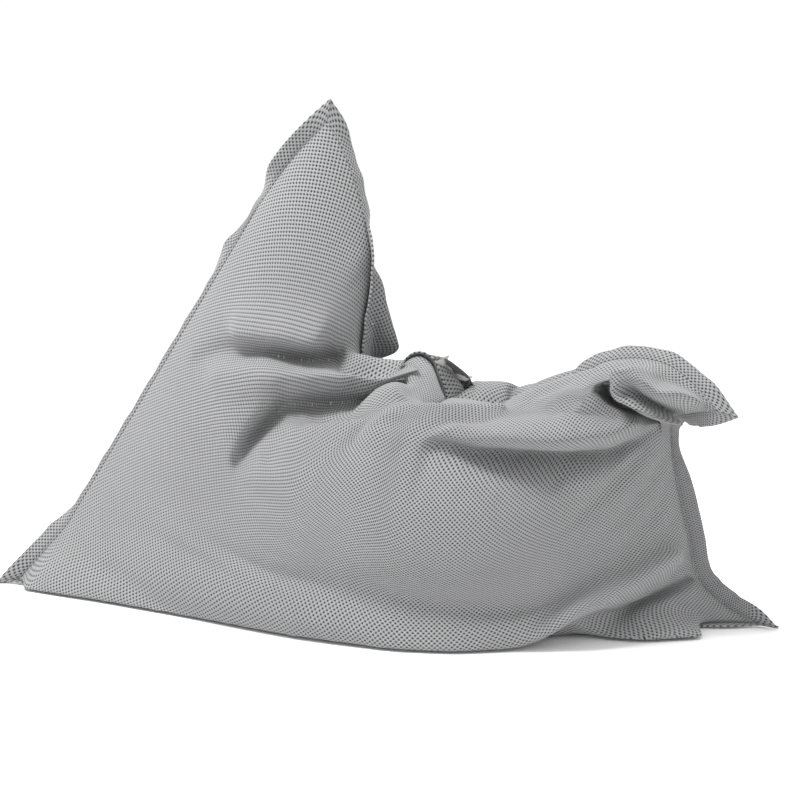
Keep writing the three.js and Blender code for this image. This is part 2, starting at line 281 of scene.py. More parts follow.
def twisted(name, colour, pitch, roughness):
    """Yarn or woven tape: fine slanting ribs on the object's own coordinates."""
    finish = Finish(name, Roughness=roughness, Specular_IOR_Level=0.3)
    place = finish.place()
    x, y, z = finish.axes(place)
    ribs = 0.5 + 0.5 * ((2 * math.pi / pitch) * (x + y + z)).cosine()
    grain = finish.noise(place, 260, 3.0)
    # Painted shade: a darker copy of the colour fills the grooves between the ribs, mixed with random
    # grain.
    groove_shade = tuple(0.55 * c for c in colour)
    finish.feed(Base_Color=finish.mix((ribs + grain - 0.5).between(0, 1), groove_shade, colour))
    finish.bump(ribs + 0.4 * grain, 0.0003, 0.6)
    return finish.material


def brushed(name, colour):
    finish = Finish(name, Metallic=1.0, Base_Color=(*colour, 1))
    place = finish.place()
    wear = finish.noise(place, 900, 4.0, 0.7)
    finish.feed(Roughness=0.25 + 0.3 * wear)
    finish.bump(wear, 0.0001, 0.3)
    return finish.material


def nylon(name, colour):
    finish = Finish(name, Roughness=0.38, Specular_IOR_Level=0.5)
    wear = finish.noise(finish.place(), 500, 3.0)
    finish.feed(Base_Color=finish.mix(wear, tuple(0.7 * c for c in colour), colour))
    return finish.material


def plain_lining(name, colour):
    finish = Finish(name, Roughness=0.85, Sheen_Weight=0.15)
    along, up, _ = finish.axes(finish.cut())
    threads = (2 * math.pi / 0.0012 * along).cosine() * (2 * math.pi / 0.0012 * up).cosine()
    uneven = finish.noise(finish.place(), 12, 3.0)
    finish.feed(Base_Color=finish.mix(uneven, tuple(0.85 * c for c in colour), colour))
    finish.bump(threads, 0.0002, 0.5)
    return finish.material


def beady(name, colour):
    finish = Finish(name, Roughness=0.7, Subsurface_Weight=0.1)
    cells = finish.node("ShaderNodeTexVoronoi", {"feature": "F1"},
                        {"Vector": finish.place(), "Scale": 240.0}, "Distance")
    # Painted shade: the gaps between the domes, far from each cell's middle, are darkened.
    gap_shade = tuple(0.6 * c for c in colour)
    finish.feed(Base_Color=finish.mix(cells.between(0.2, 0.7), colour, gap_shade))
    finish.bump(1 - cells, 0.0018, 0.9)
    return finish.material


THREAD = twisted("topstitch_thread", (0.30, 0.305, 0.31), 0.0012, 0.6)
ZIP_TAPE = twisted("zip_tape", (0.17, 0.175, 0.18), 0.0016, 0.85)
ZIP_NYLON = nylon("zip_nylon", (0.10, 0.105, 0.11))
ZIP_METAL = brushed("zip_metal", (0.56, 0.57, 0.59))
LINING = plain_lining("liner_cloth", (0.78, 0.77, 0.74))
BEADS = beady("polystyrene_beads", (0.86, 0.86, 0.84))

paper = Finish("floor_paper", Specular_IOR_Level=0.3)
speckle = paper.noise(paper.place(), 3.0)
paper.feed(Base_Color=paper.mix(speckle, (0.965, 0.965, 0.965), (0.975, 0.975, 0.975)))
paper.feed(Roughness=0.42 + 0.06 * speckle)
floor.data.materials.append(paper.material)
print(len(bpy.data.materials), "materials in the file")

# %% [markdown]
# ## The seam
# The seam is the one line that the whole shape hangs from, so it is given as four smooth courses, in
# metres: up the back rest's edge, over the seat and the flopped corner, down the foot end, and along
# the floor. The two panels are flat rectangles before they are filled, and a point of a panel is
# known by its share of the width, u, and of the height, v.

# %% The seam's four courses
CUT = (1.76, 1.36)  # each panel inside the seam, before it is filled
LEFT = [
    (-.835, 0, .005), (-.722, .030, .138), (-.7131, .0309, .1525), (-.499, .0525, .5005),
    (-.2849, .0741, .8485), (-.276, .075, .863), (-.190, .070, .976), (-.120, .060, 1.043)]
TOP = [
    (-.120, .060, 1.043), (-.092, .060, .995), (-.064, .060, .930), (-.038, .055, .835),
    (-.021, .050, .760), (-.028, .050, .670), (-.042, .050, .570), (-.030, .050, .480),
    (.015, .050, .480), (.050, .050, .530), (.085, .047, .550), (.112, .045, .528),
    (.123, .045, .480), (.132, .043, .435), (.190, .045, .400), (.290, .030, .395),
    (.385, .010, .460), (.470, -.030, .550), (.545, -.060, .574), (.620, -.090, .568),
    (.680, -.120, .530), (.725, -.140, .485)]
RIGHT = [
    (.815, -.005, .005), (.745, 0, .045), (.690, 0, .100), (.668, 0, .190), (.642, 0, .300),
    (.628, -.005, .390), (.632, -.040, .445), (.670, -.100, .470), (.725, -.140, .485)]
BOTTOM = [
    (-.835, 0, .005), (-.420, -.010, .005), (0, -.030, .005), (.420, -.030, .005),
    (.815, -.005, .005)]


def evenly(points, count):
    """count + 1 evenly spaced points on the smooth (centripetal) curve through the given ones."""
    given = np.array(points, float) + ORIGIN
    ends = np.vstack([2 * given[0] - given[1], given, 2 * given[-1] - given[-2]])
    dense = []
    for p0, p1, p2, p3 in zip(ends, ends[1:], ends[2:], ends[3:]):
        t1, t2, t3 = np.cumsum([np.linalg.norm(b - a) ** 0.5 for a, b in
                                ((p0, p1), (p1, p2), (p2, p3))])
        for t in np.linspace(t1, t2, 24, endpoint=False):
            a1 = ((t1 - t) * p0 + t * p1) / t1
            a2 = ((t2 - t) * p1 + (t - t1) * p2) / (t2 - t1)
            a3 = ((t3 - t) * p2 + (t - t2) * p3) / (t3 - t2)
            b1 = ((t2 - t) * a1 + t * a2) / t2
            b2 = ((t3 - t) * a2 + (t - t1) * a3) / (t3 - t1)
            dense.append(((t2 - t) * b1 + (t - t1) * b2) / (t2 - t1))
    dense = np.array(dense + [given[-1]])
    run = np.r_[0, np.cumsum(np.linalg.norm(np.diff(dense, axis=0), axis=1))]
    return np.stack([np.interp(np.linspace(0, run[-1], count + 1), run, dense[:, k])
                     for k in range(3)], 1)


for name, course, cut in (("left", LEFT, 1), ("top", TOP, 0), ("right", RIGHT, 1),
                          ("bottom", BOTTOM, 0)):
    long = np.linalg.norm(np.diff(evenly(course, 400), axis=0), axis=1).sum()
    print(f"{name} seam {long:.3f} m, cut {CUT[cut]} m")

# %% [markdown]
# ## Filling the pillow
# Nobody can model such folds by hand as well as cloth makes them, so the panels are simulated. A
# loose first guess is drawn between the seams, its rest shape is the flat cut, and air pressure
# stands in for the beads. The rim is pinned to the seam. A first, coarse run finds the big shape.

# %% The grid of one panel and the first guess
COARSE, FINE = (84, 62), (112, 84)
PUFF, SEAT_PUFF, ARM_LIFT = 0.16, 0.18, 0.22  # metres at the fullest point
FLOOR_GAP = 0.004  # the first shapes start this far above the floor


def grid_of(columns, rows):
    """Both panels on one set of points: indices, faces and the flat cut."""
    front = np.arange((columns + 1) * (rows + 1)).reshape(columns + 1, rows + 1)
    inner = np.zeros(front.shape, bool)
    inner[1:-1, 1:-1] = True
    back = front.copy()
    back[inner] = front.size + np.arange(inner.sum())

    def quads(i):
        return np.stack([i[:-1, :-1], i[1:, :-1], i[1:, 1:], i[:-1, 1:]], -1).reshape(-1, 4)

    u, v = np.meshgrid(np.linspace(0, 1, columns + 1), np.linspace(0, 1, rows + 1), indexing="ij")
    flat = np.stack([(u - 0.5) * CUT[0], 0 * u, v * CUT[1]], -1)
    return {
        "front": front, "back": back, "inner": inner, "u": u, "v": v,
        "faces": np.vstack([quads(front), quads(back)[:, ::-1]]).tolist(),
        "flat": np.vstack([flat.reshape(-1, 3), flat[inner]])}


def seam_sheet(grid):
    """The sheet spanned by the four courses."""
    columns, rows = grid["u"].shape[0] - 1, grid["u"].shape[1] - 1
    left, right = evenly(LEFT, rows), evenly(RIGHT, rows)
    top, bottom = evenly(TOP, columns), evenly(BOTTOM, columns)
    u, v = grid["u"][..., None], grid["v"][..., None]
    up = v[0]
    bend_left = left - ((1 - up) * bottom[0] + up * top[0])
    bend_right = right - ((1 - up) * bottom[-1] + up * top[-1])
    return ((1 - v) * bottom[:, None] + v * top[:, None]
            + (1 - u) ** 2 * bend_left + u ** 4 * bend_right)


def first_guess(grid, side):
    """The sheet puffed out, fullest where the sitter's weight pushes the beads."""
    u, v = grid["u"], grid["v"]
    sheet = seam_sheet(grid)
    round_off = (4 * u * (1 - u)) ** 0.6 * (4 * v * (1 - v)) ** 0.6
    seated = np.exp(-((u - 0.62) / 0.35) ** 2)
    arms = np.exp(-((u - 0.66) / 0.24) ** 2) * np.exp(-((v - 0.80) / 0.18) ** 2)
    sheet[..., 1] += side * (PUFF + SEAT_PUFF * seated) * round_off
    sheet[..., 2] += ARM_LIFT * arms * round_off
    sheet[..., 2] = np.maximum(sheet[..., 2], FLOOR_GAP)
    return sheet


coarse = grid_of(*COARSE)
guess = {side: first_guess(coarse, way) for side, way in (("front", -1), ("back", 1))}
print(len(coarse["faces"]), "faces to inflate first")

# %% The cloth run
FLOOR_GRIP = 20
STRETCH_STIFFNESS, SHEAR_STIFFNESS = 30, 10
COARSE_RUN = {"pressure": 30, "gravity": 0.5, "bending": 3, "frames": 45}
FINE_RUN = {"pressure": 12, "gravity": 0.4, "bending": 1, "frames": 30}


def both(grid, sides):
    return np.vstack([sides["front"].reshape(-1, 3), sides["back"][grid["inner"]]])


def apart(grid, points):
    return {side: points[grid[side]] for side in ("front", "back")}


def inflate(grid, start, flat, pressure, gravity, bending, frames, holds=()):
    """Runs the cloth from start towards the flat cut under pressure, and returns its points."""
    mesh = bpy.data.meshes.new("inflating")
    mesh.from_pydata(start.tolist(), [], grid["faces"])
    bag = add_object("inflating", mesh)
    bag.shape_key_add(name="Basis")
    key = bag.shape_key_add(name="cut")
    key.data.foreach_set("co", flat.ravel())
    key.value = 0
    pins = bag.vertex_groups.new(name="pins")
    pins.add([int(i) for i in grid["front"][~grid["inner"]]], 1.0, "REPLACE")
    for i, weight in holds:
        pins.add([int(i)], float(weight), "REPLACE")
    cloth = bag.modifiers.new("cloth", "CLOTH")
    s = cloth.settings
    s.quality, s.mass, s.air_damping = 6, 0.4, 2
    s.tension_stiffness = s.compression_stiffness = STRETCH_STIFFNESS
    s.shear_stiffness, s.bending_stiffness = SHEAR_STIFFNESS, bending
    s.tension_damping = s.compression_damping = s.shear_damping = 10
    s.bending_damping = 2
    s.use_pressure, s.uniform_pressure_force, s.pressure_factor = True, pressure, 1
    s.vertex_group_mass, s.pin_stiffness, s.rest_shape_key = "pins", 1, key
    s.effector_weights.gravity = gravity
    touch = cloth.collision_settings
    touch.distance_min, touch.collision_quality, touch.use_self_collision = 0.004, 2, False

    ground_mesh = bpy.data.meshes.new("ground")
    ground_mesh.from_pydata([(-4, -4, -.001), (4, -4, -.001), (4, 4, -.001), (-4, 4, -.001)], [],
                            [(0, 1, 2, 3)])
    ground = add_object("ground", ground_mesh)
    ground.modifiers.new("ground", "COLLISION")
    ground.collision.thickness_outer = 0.003
    ground.collision.cloth_friction = FLOOR_GRIP
    for step in range(1, frames + 1):
        SCENE.frame_set(step)
    settled = bag.evaluated_get(bpy.context.evaluated_depsgraph_get()).to_mesh()
    points = np.zeros(len(settled.vertices) * 3)
    settled.vertices.foreach_get("co", points)
    for used, data in ((bag, mesh), (ground, ground_mesh)):
        bpy.data.objects.remove(used)
        bpy.data.meshes.remove(data)
    SCENE.frame_set(1)
    return points.reshape(-1, 3)


filled = inflate(coarse, both(coarse, guess), coarse["flat"], **COARSE_RUN)
print("first fill reaches", np.round(filled.min(0), 3), "to", np.round(filled.max(0), 3))

# %% [markdown]
# ## The folds
# Beads run away from where someone has sat, and there the slack cloth stays creased. The folds of
# this pillow are given as lines on the cloth: where each lies on the panel (u, v), and where it ends
# up in space. The filled shape is pushed softly towards them, the cloth gets a little slack, and a
# second, finer run with some hold on those lines lets every wrinkle between them find its own way.

# %% Lines on the cloth: what, how firmly held, how wide it spreads, and its points
FRONT_FOLDS = [
    ("first crease over the back rest", 0.95, 0.02, [
        (.06, .548, -.399, -.010, .530), (.107, .613, -.322, -.020, .549),
        (.155, .694, -.253, -.010, .554), (.202, .742, -.193, .000, .537),
        (.25, .806, -.150, .005, .527), (.31, .920, -.065, .020, .538)]),
    ("cloth above the first crease", 0.5, 0.03, [
        (.1, .660, -.291, -.085, .600), (.17, .760, -.186, -.110, .601),
        (.23, .850, -.112, -.105, .594)]),
    ("first roll", 0.8, 0.03, [
        (.105, .565, -.337, -.085, .519), (.179, .635, -.228, -.135, .531),
        (.262, .750, -.129, -.160, .526), (.33, .860, -.040, -.140, .530),
        (.385, .915, .040, -.120, .534), (.43, .950, .105, -.070, .523)]),
    ("top of the first roll", 0.9, 0.028, [
        (.3, .920, -.083, -.045, .544), (.335, .950, -.044, -.025, .553),
        (.365, .965, .012, -.012, .559), (.395, .975, .069, .005, .560)]),
    ("second crease under the roll", 0.95, 0.02, [
        (.226, .468, -.282, -.135, .329), (.226, .532, -.264, -.095, .365),
        (.238, .597, -.235, -.060, .402), (.25, .677, -.197, -.035, .436),
        (.31, .770, -.144, -.025, .447), (.37, .860, -.057, -.020, .447),
        (.45, .900, .042, -.020, .455)]),
    ("crest of the near arm", 0.5, 0.035, [
        (.28, .620, -.150, -.175, .418), (.36, .700, -.038, -.200, .455),
        (.46, .760, .089, -.210, .489), (.54, .800, .172, -.210, .501),
        (.64, .830, .291, -.190, .497)]),
    ("long crease along the seat", 0.95, 0.018, [
        (.583, .700, .169, -.225, .425), (.631, .690, .232, -.195, .403),
        (.69, .667, .311, -.175, .395), (.786, .620, .411, -.160, .394),
        (.869, .615, .513, -.115, .395), (.935, .680, .587, -.075, .427),
        (.955, .700, .616, -.055, .443)]),
    ("lip over the long crease", 0.7, 0.022, [
        (.6, .740, .213, -.245, .458), (.667, .730, .305, -.285, .447),
        (.774, .685, .424, -.275, .440), (.85, .665, .508, -.225, .441),
        (.905, .700, .572, -.160, .459)]),
    ("hole at the root of the flap", 0.95, 0.016, [
        (.85, .870, .486, -.070, .527), (.855, .820, .493, -.045, .498),
        (.864, .765, .505, -.010, .466), (.89, .745, .547, -.040, .459),
        (.92, .735, .585, -.050, .456), (.95, .730, .622, -.045, .446)]),
    ("roll under the hole", 0.6, 0.025, [
        (.8, .900, .455, -.150, .524), (.81, .820, .467, -.170, .504),
        (.8, .760, .439, -.200, .484), (.87, .720, .527, -.150, .465)]),
    ("folded edge of the flap", 0.9, 0.016, [
        (.873, .920, .498, -.165, .570), (.878, .870, .509, -.190, .534),
        (.885, .815, .520, -.200, .503), (.91, .790, .586, -.225, .489),
        (.94, .785, .638, -.205, .466), (.965, .800, .672, -.175, .458)]),
    ("face of the flap", 0.8, 0.03, [
        (.895, .930, .552, -.205, .590), (.91, .890, .576, -.245, .558),
        (.935, .870, .620, -.255, .532), (.955, .910, .657, -.235, .543),
        (.975, .930, .695, -.200, .514)]),
    ("fold at the foot end", 0.95, 0.018, [
        (.74, .070, .390, -.190, .007), (.82, .120, .493, -.085, .031),
        (.905, .165, .593, -.035, .061), (.975, .235, .670, .000, .095)]),
    ("belly over the foot end", 0.6, 0.03, [
        (.72, .130, .391, -.290, .054), (.8, .180, .486, -.245, .100),
        (.88, .240, .581, -.185, .139), (.955, .310, .662, -.095, .177)]),
    ("where the belly meets the floor", 0.85, 0.05, [
        (.025, .035, -.783, -.060, -.001), (.07, .050, -.707, -.088, -.000),
        (.14, .075, -.599, -.115, -.004), (.29, .120, -.346, -.200, -.004),
        (.44, .175, -.106, -.285, -.002), (.57, .200, .112, -.325, -.001),
        (.64, .195, .223, -.315, -.001), (.69, .170, .310, -.285, .001),
        (.735, .145, .407, -.245, .003)]),
    ("foot of the far corner", 0.7, 0.035, [
        (.79, .100, .504, -.200, .001), (.84, .085, .604, -.168, .003),
        (.9, .065, .703, -.130, .003)]),
]
BACK_FOLDS = [
    ("far end of the first roll", 0.85, 0.03, [
        (.43, .965, .103, .070, .555), (.45, .955, .138, .085, .531),
        (.47, .930, .177, .120, .496), (.485, .880, .193, .160, .442)]),
    ("back of the back rest", 0.6, 0.04, [
        (.225, .975, -.018, .070, .704), (.245, .955, .000, .090, .647),
        (.265, .930, .020, .115, .593), (.285, .915, .041, .130, .538)]),
]

# %% Pressing the folds in
SEAM_FADE = 0.03  # a fold fades out over this distance from the seam
FOLD_STEP = 0.012
SLACK = (1.03, 1, 1.08)  # how much longer and higher the cloth is than its cut, for the folds


def finer(points, grid, fine):
    """The coarse panel's points, taken over onto the finer grid."""
    a = fine["u"][:, 0] * (grid["u"].shape[0] - 1)
    b = fine["v"][0] * (grid["u"].shape[1] - 1)
    i = np.minimum(a.astype(int), grid["u"].shape[0] - 2)
    j = np.minimum(b.astype(int), grid["u"].shape[1] - 2)
    s, t = (a - i)[:, None, None], (b - j)[None, :, None]
    return ((1 - s) * (1 - t) * points[i][:, j] + s * (1 - t) * points[i + 1][:, j]
            + (1 - s) * t * points[i][:, j + 1] + s * t * points[i + 1][:, j + 1])


def press_folds(points, fine, folds):
    """Moves the cloth towards its fold lines, and returns it with the points that hold them."""
    x, y = fine["u"] * CUT[0], fine["v"] * CUT[1]
    columns, rows = fine["u"].shape[0] - 1, fine["u"].shape[1] - 1
    pull, share, most, held = np.zeros_like(points), np.zeros_like(x), np.zeros_like(x), {}
    for _, hold, spread, line in folds:
        line = np.array(line, float)
        run = np.r_[0, np.cumsum(np.hypot(*(np.diff(line[:, :2], axis=0) * CUT).T))]
        steps = np.linspace(0, run[-1], max(2, int(run[-1] / FOLD_STEP) + 1))
        for row in np.stack([np.interp(steps, run, line[:, k]) for k in range(5)], 1):
            i, j = round(row[0] * columns), round(row[1] * rows)
            near = np.exp(-((x - row[0] * CUT[0]) ** 2 + (y - row[1] * CUT[1]) ** 2)
                          / (2 * spread ** 2))
            pull += near[..., None] * (row[2:] + ORIGIN - points[i, j])
            share += near
            most = np.maximum(most, near)
            if 0 < i < columns and 0 < j < rows:
                held[i, j] = max(hold, held.get((i, j), 0))
    from_seam = np.minimum(np.minimum(x, CUT[0] - x), np.minimum(y, CUT[1] - y))
    strength = most * np.clip(from_seam / SEAM_FADE, 0, 1) / np.maximum(share, 1e-9)
    moved = points + pull * strength[..., None]
    moved[..., 2] = np.maximum(moved[..., 2], FLOOR_GAP)
    return moved, held


fine = grid_of(*FINE)
seam = seam_sheet(fine)
holds, panel = [], {}
for side, folds in (("front", FRONT_FOLDS), ("back", BACK_FOLDS)):
    finer_side = finer(apart(coarse, filled)[side], coarse, fine)
    finer_side[~fine["inner"]] = seam[~fine["inner"]]
    panel[side], held = press_folds(finer_side, fine, folds)
    holds += [(fine[side][at], weight) for at, weight in held.items()]
settled = inflate(fine, both(fine, panel), fine["flat"] * SLACK, holds=holds, **FINE_RUN)
panel = apart(fine, settled)
for side in panel:
    panel[side][~fine["inner"]] = seam[~fine["inner"]]
print(len(holds), "points held; the cover reaches", np.round(settled.min(0), 3), "to",
      np.round(settled.max(0), 3))

# %% [markdown]
# ## The zip's line
# A closed zip lies flat behind the back rest's seam, where the back panel's edge stands off to make
# room for its two tapes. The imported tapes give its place: their long direction, and the direction
# across them towards the back.

# %% Axes of a zip, from its packed tapes


def points_of(node):
    mesh = NODES[node].data
    found = np.zeros(len(mesh.vertices) * 3)
    mesh.vertices.foreach_get("co", found)
    return found.reshape(-1, 3)


def zip_axes(prefix):
    """Where the line between the coils starts and ends, and the zip's three directions."""
    front, back = (points_of(f"{prefix}zip_coil_{side}") for side in ("front", "back"))
    middle = (front.mean(0) + back.mean(0)) / 2
    edges = front[:, None] - front[None]
    longest = edges.reshape(-1, 3)[np.argsort(np.linalg.norm(edges, axis=2).ravel())[-1]]
    across = back.mean(0) - front.mean(0)
    across /= np.linalg.norm(across)
    along = longest - across * longest.dot(across)
    along *= np.sign(along[2]) / np.linalg.norm(along)
    half = max(abs((front - middle) @ along))
    out = np.cross(along, across)
    along = along - out * along.dot(out)
    return {"middle": middle, "half": half, "along": along, "across": across, "out": out}


cover_zip, liner_zip = zip_axes(""), zip_axes("liner_")
print("cover zip", round(2 * cover_zip["half"], 3), "m long, out is", cover_zip["out"].round(2))

# %% [markdown]
# ## The two panels of the cover
# Each panel is the settled cloth as a sheet with the cloth's real thickness. The sheet is also laid
# flat again and kept as a UV map in metres, which the weave reads. One level of subdivision rounds
# the folds.

# %% Panels
CLOTH_THICK = 0.0012
ZIP_ROOM = 0.0301  # the back panel's edge to the seam, beside the zip
ZIP_SPAN = (0.1617, 0.7759)  # shares of the left edge
ZIP_RAMP = 0.035
ZIP_COLUMNS, ZIP_FADE = 6, 2.5  # cells of the back panel that stand off, and how fast that fades


def smooth_step(t):
    t = np.clip(t, 0, 1)
    return t * t * (3 - 2 * t)


opening = (smooth_step((fine["v"][0] - ZIP_SPAN[0] + ZIP_RAMP) / ZIP_RAMP)
           * smooth_step((ZIP_SPAN[1] + ZIP_RAMP - fine["v"][0]) / ZIP_RAMP) * ZIP_ROOM)
for column in range(ZIP_COLUMNS):
    stand_off = opening * math.exp(-(column / ZIP_FADE) ** 2)
    panel["back"][column] += stand_off[:, None] * cover_zip["across"]


FLATTENING, FLATTEN_SHARE = 500, 0.7  # rounds, and how much of each correction is taken
STRETCH = (0.7, 1.3)  # more than this is left in the weave
LINKS = ((slice(None, -1), slice(None), slice(1, None), slice(None)),
         (slice(None), slice(None, -1), slice(None), slice(1, None)),
         (slice(None, -1), slice(None, -1), slice(1, None), slice(1, None)),
         (slice(None, -1), slice(1, None), slice(1, None), slice(None, -1)))


def cut_of(points):
    """The settled panel laid flat again, so that its weave keeps one pitch in every fold."""
    long = [np.linalg.norm(np.diff(points, axis=k), axis=2).sum(k).mean() for k in (0, 1)]
    flat = np.stack([fine["u"] * long[0], fine["v"] * long[1]], -1)
    wanted = [np.clip(np.linalg.norm(points[c, d] - points[a, b], axis=2) / size, *STRETCH) * size
              for a, b, c, d in LINKS
              for size in [np.linalg.norm(flat[c, d] - flat[a, b], axis=2)]]
    for _ in range(FLATTENING):
        push, links = np.zeros_like(flat), np.zeros(flat.shape[:2])
        for (a, b, c, d), want in zip(LINKS, wanted):
            span = flat[c, d] - flat[a, b]
            size = np.maximum(np.linalg.norm(span, axis=2), 1e-6)
            shift = span * ((size - want) / size)[..., None]
            push[a, b] += shift
            push[c, d] -= shift
            links[a, b] += 1
            links[c, d] += 1
        flat += FLATTEN_SHARE * push / links[..., None]
    return flat


CUTS = {side: cut_of(points) for side, points in panel.items()}
print("settled front panel", np.ptp(CUTS["front"], axis=(0, 1)).round(3), "m of the cut", CUT)


def sheet_mesh(name, points, cut, faces_front):
    """A grid of cloth as a mesh that faces outwards, with its place on the cloth as UVs."""
    i = np.arange(points.shape[0] * points.shape[1]).reshape(points.shape[:2])
    faces = np.stack([i[:-1, :-1], i[1:, :-1], i[1:, 1:], i[:-1, 1:]], -1).reshape(-1, 4)
    if not faces_front:
        faces = faces[:, ::-1]
    mesh = bpy.data.meshes.new(name)
    mesh.from_pydata(points.reshape(-1, 3).tolist(), [], faces.tolist())
    layer = mesh.uv_layers.new(name="cut")
    layer.data.foreach_set("uv", cut.reshape(-1, 2)[faces.ravel()].ravel())
    mesh.polygons.foreach_set("use_smooth", [True] * len(mesh.polygons))
    return mesh


def cloth_piece(name, points, cut, faces_front, material, thick, subdivide):
    made = add_object(name, sheet_mesh(name, points, cut, faces_front))
    made.data.materials.append(material)
    if subdivide:
        rounder = made.modifiers.new("rounder", "SUBSURF")
        rounder.levels = rounder.render_levels = subdivide
        rounder.boundary_smooth = "PRESERVE_CORNERS"
    wall = made.modifiers.new("thickness", "SOLIDIFY")
    wall.thickness, wall.offset = thick, -1
    return made


covers = {}
for side in ("front", "back"):
    piece = cloth_piece(f"cover_{side}", panel[side], CUTS[side], side == "front",
                        COVER_CLOTH, CLOTH_THICK, 1)
    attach(piece, "bag")
    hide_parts(f"cover_{side}_panel")
    covers[side] = piece
print("two panels of", len(covers["front"].data.polygons), "faces before subdivision")

# %% [markdown]
# ## The liner and the beads
# Inside the cover hangs a thin liner bag, and inside that are the beads. Both are part of the object,
# so each is the settled shape taken inwards by the room between the bags. Where the cover folds over
# itself, at the end of the first roll and in the valley behind the seat, a little of them still shows.

# %% Inner bags
INWARD_STEPS, INWARD_SHARE = 9, 0.7
FIRST_EASE, BACK_EASE = 0.4, 0.9  # how far a point eases towards its neighbours
BRIDGES, BRIDGE_ROUNDS = 3, 60


def cover_tree():
    """The cover's whole skin, for asking how deep inside it a point lies."""
    return BVHTree.FromPolygons(both(fine, panel).tolist(), fine["faces"])


def outside_of(tree, point):
    """How far a point lies outside the skin, and the skin's direction there."""
    near, normal, _, _ = tree.find_nearest(Vector(point))
    return (Vector(point) - near).dot(normal), normal


def between_neighbours(points):
    room = np.pad(points, ((1, 1), (1, 1), (0, 0)), mode="edge")
    return (room[:-2, 1:-1] + room[2:, 1:-1] + room[1:-1, :-2] + room[1:-1, 2:]) / 4


def join_rims(taken, rim):
    """Both sheets meet halfway along their shared rim."""
    shared = (taken["front"] + taken["back"]) / 2
    for points in taken.values():
        points[rim] = shared[rim]


def bridge(taken, rim, bad):
    """Stretches the cloth straight across wherever it still lies outside the cover."""
    for _ in range(BRIDGE_ROUNDS):
        for points, flags in zip(taken.values(), bad):
            loose = np.where(rim, bad[0] | bad[1], flags)
            points[loose] = between_neighbours(points)[loose]
        join_rims(taken, rim)


def inward(depth, ring):
    """Both panels taken in, step by step, until nearly every point is depth inside the cover."""
    tree = cover_tree()
    taken = {side: panel[side][ring:-ring, ring:-ring].copy() for side in ("front", "back")}
    rim = np.ones(taken["front"].shape[:2], bool)
    rim[1:-1, 1:-1] = False
    for side, points in taken.items():
        outward = np.cross(*np.gradient(points, axis=(0, 1))) * (1 if side == "front" else -1)
        points -= depth * outward / np.maximum(np.linalg.norm(outward, axis=2), 1e-9)[..., None]
    for step in range(INWARD_STEPS):
        for side, points in taken.items():
            ease = np.full(rim.shape, FIRST_EASE if step == 0 else 0.0)
            for at in np.ndindex(*rim.shape):
                height, normal = outside_of(tree, points[at])
                short = height + depth
                if side == "back" and short > 0.6 * depth:
                    ease[at] = BACK_EASE
                if short > 0:
                    points[at] -= np.array(normal) * min(short, depth) * INWARD_SHARE
            eased = ease[..., None] * (between_neighbours(points) - points)
            points[1:-1, 1:-1] += eased[1:-1, 1:-1]
            points[..., 2] = np.maximum(points[..., 2], depth)
        join_rims(taken, rim)
    for _ in range(BRIDGES):
        bridge(taken, rim, [
            np.array([outside_of(tree, p)[0] > -0.1 * depth for p in points.reshape(-1, 3)]
                     ).reshape(rim.shape) for points in taken.values()])
    return taken


LINER_THICK = 0.0006
LINER_DEPTH, LINER_RING = 0.010, 2  # below the cover, and cells left out at its rim
HEAP_DEPTH, HEAP_RING = 0.020, 4
liner = inward(LINER_DEPTH, LINER_RING)
inside = (slice(LINER_RING, -LINER_RING),) * 2
for side in ("front", "back"):
    piece = cloth_piece(f"liner_{side}", liner[side], CUTS[side][inside], side == "front",
                        LINING, LINER_THICK, 0)
    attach(piece, "bag")
    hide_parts(f"liner_{side}_panel")

heap = inward(HEAP_DEPTH, HEAP_RING)
deep = (slice(HEAP_RING, -HEAP_RING),) * 2
bead_mesh = bmesh.new()
for side in ("front", "back"):
    half = sheet_mesh("half", heap[side], CUTS[side][deep], side == "front")
    bead_mesh.from_mesh(half)
    bpy.data.meshes.remove(half)
bmesh.ops.remove_doubles(bead_mesh, verts=bead_mesh.verts, dist=1e-5)
bead_data = bpy.data.meshes.new("bead_heap")
bead_mesh.to_mesh(bead_data)
bead_mesh.free()
beads = add_object("bead_heap", bead_data)
beads.data.materials.append(BEADS)
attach(beads, "bag")
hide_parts("bead_fill")
print("liner and", len(bead_data.polygons), "faces of beads inside the cover")

# %% [markdown]
# ## The flange
# Outside the seam the two panels run on as a flat, doubled band, turned in and stitched. It stands
# straight out left of the peak and leans back right of it, lies towards the viewer below that, curls
# down over the zip behind the left edge, is bunched up at tight bends, and is folded under the pillow
# along the floor. Each edge is one closed ribbon with a plump section, and neighbours lap a little
# where they meet in a mitre.

# %% The band's directions round the seam
FLANGE = 0.034
TIP = 1.45  # the mitred corners, in widths
FLANGE_HALF = (0.0008, 0.0018, 0.0024, 0.0022, 0.0026, 0.0019, 0.0005)
FLANGE_AT = (0, 0.08, 0.25, 0.60, 0.86, 0.97, 1.0)
LEANS = {  # share of the edge, and degrees towards the viewer (-) or the back (+)
    "left": [(0, 0), (0.08, 15), (0.14, 33), (0.79, 33), (0.815, 58), (0.84, 58), (0.88, -15),
             (1, -8)],
    "top": [(0, 0), (0.03, 65), (0.12, 85), (0.14, 40), (0.155, -75), (0.33, -80), (0.47, -60),
            (0.60, -30), (0.68, 20), (0.80, 60), (0.95, 45), (1, 25)],
    "right": [(0, -10), (0.2, -5), (0.6, 5), (0.8, 25), (1, 10)],
}
CURLS = [(0, 0), (0.12, 0), (0.18, 54), (0.66, 54), (0.72, 0), (1, 0)]  # of the left band's rim
CURL_FROM = 0.35  # share of the band's width that stays straight


def edge_of(name):
    grid_edge = {"left": seam[0, :], "right": seam[-1, :], "top": seam[:, -1], "bottom": seam[:, 0]}
    return grid_edge[name]


